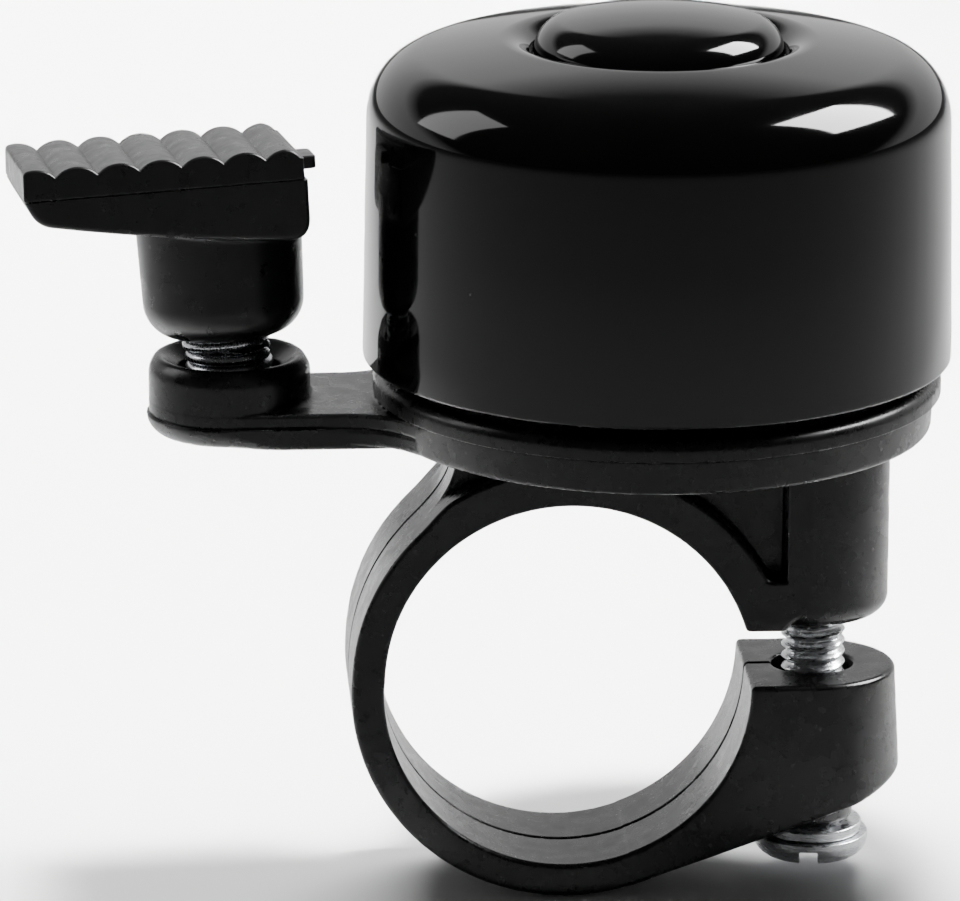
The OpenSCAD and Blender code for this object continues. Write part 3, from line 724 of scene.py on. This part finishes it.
base_mat = black_plastic("moulded_black", 0.005, 0.007, 0.22, 0.35, 0.10)
lever_mat = black_plastic("lever_black", 0.005, 0.008, 0.24, 0.38, 0.10)
dome_mat = gloss_black("gong_paint", 0.0015, 0.05)
cap_mat = gloss_black("cap_black", 0.0015, 0.06)
plate_mat = black_plastic("plate_lacquer", 0.008, 0.014, 0.26, 0.4, 0.15)
zinc_mat = steel("zinc_plate", (0.50, 0.51, 0.53), (0.72, 0.73, 0.74), 0.26, (1.0, 1.0, 8.0))
wire_mat = steel("spring_wire", (0.42, 0.43, 0.45), (0.62, 0.63, 0.65), 0.24, (6.0, 6.0, 1.0))
nylon = Nodes("nylon")
nylon_mat = nylon.set(
    Base_Color=nylon.ramp(nylon.noise(400, 4), [(0.3, (0.70, 0.68, 0.62)), (0.7, (0.80, 0.78, 0.73))]),
    Roughness=nylon.ramp(nylon.noise(900, 3), [(0.3, 0.42), (0.7, 0.6)]),
    Normal=nylon.bump(nylon.noise(3000, 2), 0.1, 0.00003))


def dress(o, mat):
    o.data.materials.clear()
    o.data.materials.append(mat)


# ---------------------------------------------------------------- bodies
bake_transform(base)
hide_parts("base_frame", "clamp_jaw")
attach(post, "base")
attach(dome, "base")
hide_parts("bell_dome")
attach(cap, "base")
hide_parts("dome_cap")
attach(striker, "striker")
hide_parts("striker_body")
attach(thumb, "striker")
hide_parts("thumb_pad")
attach(hammer, "striker")
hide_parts("hammer_plate")
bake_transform(spring_low)
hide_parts("striker_spring")
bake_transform(spring_high)
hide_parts("striker_spring")
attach(screw_head, "screw")
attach(shank, "screw")
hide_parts("clamp_screw")
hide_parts("clamp_screw")
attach(ring, "washer")
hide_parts("lock_washer")

DRESS = ((base_mat, "base_plastic", (base, post)),
         (dome_mat, "gong_paint", (dome,)),
         (cap_mat, "cap_plastic", (cap,)),
         (lever_mat, "pad_plastic", (striker, thumb)),
         (plate_mat, "black_steel", (hammer,)),
         (wire_mat, "spring_steel", (spring_low, spring_high)),
         (zinc_mat, "zinc", (screw_head, shank, ring)))
for mat, slot, pieces in DRESS:
    for piece in pieces:
        dress(piece, mat)
for node in ("clamp_nut", "dome_screw", "dome_washer"):
    dress(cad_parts[node], zinc_mat)
dress(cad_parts["dome_bush"], nylon_mat)

# ---------------------------------------------------------------- stage
size = {"cad": [list(v) for v in cad_box], "visual": [list(v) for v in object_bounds()]}

floor_z = size["cad"][0][2] - 0.0001


def panel(name, width, height, at, towards, strength):
    """Soft rectangular light facing a point."""
    data = bpy.data.lights.new(name, "AREA")
    data.shape = "RECTANGLE"
    data.size, data.size_y = width, height
    data.energy = strength
    o = bpy.data.objects.new(name, data)
    bpy.context.scene.collection.objects.link(o)
    o.location = at
    o.rotation_euler = (Vector(towards) - Vector(at)).to_track_quat("-Z", "Y").to_euler()
    return o


bpy.ops.mesh.primitive_plane_add(size=6, location=(0, 0, floor_z))
floor = bpy.context.object
floor.name = "floor"
fm = Nodes("pale_floor")
fm.set(Base_Color=fm.ramp(fm.noise(6, 3), [(0.3, (0.86, 0.86, 0.86)), (0.7, (0.89, 0.89, 0.89))]),
       Roughness=fm.ramp(fm.noise(40, 3), [(0.3, 0.75), (0.7, 0.85)]),
       Specular_IOR_Level=0.0)
floor.data.materials.append(fm.mat)

world = bpy.data.worlds.new("studio")
bpy.context.scene.world = world
world.use_nodes = True
wt = world.node_tree
bg = wt.nodes["Background"]
coord = wt.nodes.new("ShaderNodeTexCoord")
sep = wt.nodes.new("ShaderNodeSeparateXYZ")
wt.links.new(coord.outputs["Generated"], sep.inputs[0])
# bright backdrop standing behind the object, a dim room elsewhere
BACKDROP_SLOPE, EDGE_LOW, EDGE_HIGH = 0.60, -0.07, 0.09
DIM, BRIGHT = 0.04, 1.1
slope = wt.nodes.new("ShaderNodeMath")
slope.operation = "MULTIPLY"
slope.inputs[1].default_value = BACKDROP_SLOPE
wt.links.new(sep.outputs["Y"], slope.inputs[0])
below_top = wt.nodes.new("ShaderNodeMath")
below_top.operation = "SUBTRACT"
wt.links.new(slope.outputs[0], below_top.inputs[0])
wt.links.new(sep.outputs["Z"], below_top.inputs[1])
level = wt.nodes.new("ShaderNodeMapRange")
level.inputs["From Min"].default_value = EDGE_LOW
level.inputs["From Max"].default_value = EDGE_HIGH
level.inputs["To Min"].default_value = DIM
level.inputs["To Max"].default_value = BRIGHT
wt.links.new(below_top.outputs[0], level.inputs["Value"])
bg.inputs["Color"].default_value = (1, 1, 1, 1)
wt.links.new(level.outputs[0], bg.inputs["Strength"])

aim = (0.005, 0.0, 0.03)


def seen_from(azimuth, elevation, distance):
    """Point at a bearing from the bell: azimuth from straight behind towards +X, both in degrees."""
    a, e = math.radians(azimuth), math.radians(elevation)
    bearing = Vector((math.sin(a) * math.cos(e), math.cos(a) * math.cos(e), math.sin(e)))
    return Vector(aim) + distance * bearing


LIGHT_OUT = 0.8
key = panel("key_right", 0.46, 0.42, seen_from(78, 45, LIGHT_OUT), aim, 40.0)
key.rotation_euler.rotate_axis("Z", math.radians(-20))
fill = panel("fill_left", 0.34, 0.50, seen_from(-75, 32, LIGHT_OUT), aim, 2.6)
for o in (key, fill):
    o.visible_diffuse = False
# the floor behind the object is lit from straight above, the rest only softly
WASH_Y = 0.170
wash = panel("floor_wash", 0.35, 0.15, (0.0, WASH_Y, 0.32), (0.0, WASH_Y, 0.0), 1.15)
wash.rotation_euler = (0.0, 0.0, math.radians(90))
wash.data.spread = math.radians(14)
spill = panel("floor_spill", 0.35, 0.2, (0.0, 0.27, 0.30), (0.0, 0.12, 0.0), 3.2)
for o in (wash, spill):
    o.visible_glossy = False
for o in (key, fill, wash, spill):
    o.visible_camera = False

# ---------------------------------------------------------------- camera
az, el, far = math.radians(-3.5), math.radians(16.0), 0.389
centre = Vector((-0.0051, 0.0, 0.01329))
cam_data = bpy.data.cameras.new("camera")
cam_data.sensor_width = 36.0
cam_data.lens = 241.9
cam = bpy.data.objects.new("camera", cam_data)
bpy.context.scene.collection.objects.link(cam)
away = Vector((math.sin(az) * math.cos(el), -math.cos(az) * math.cos(el), math.sin(el)))
cam.location = centre + away * far
cam.rotation_euler = (-away).to_track_quat("-Z", "Y").to_euler()
cam_data.clip_start, cam_data.clip_end = 0.01, 20
bpy.context.scene.camera = cam
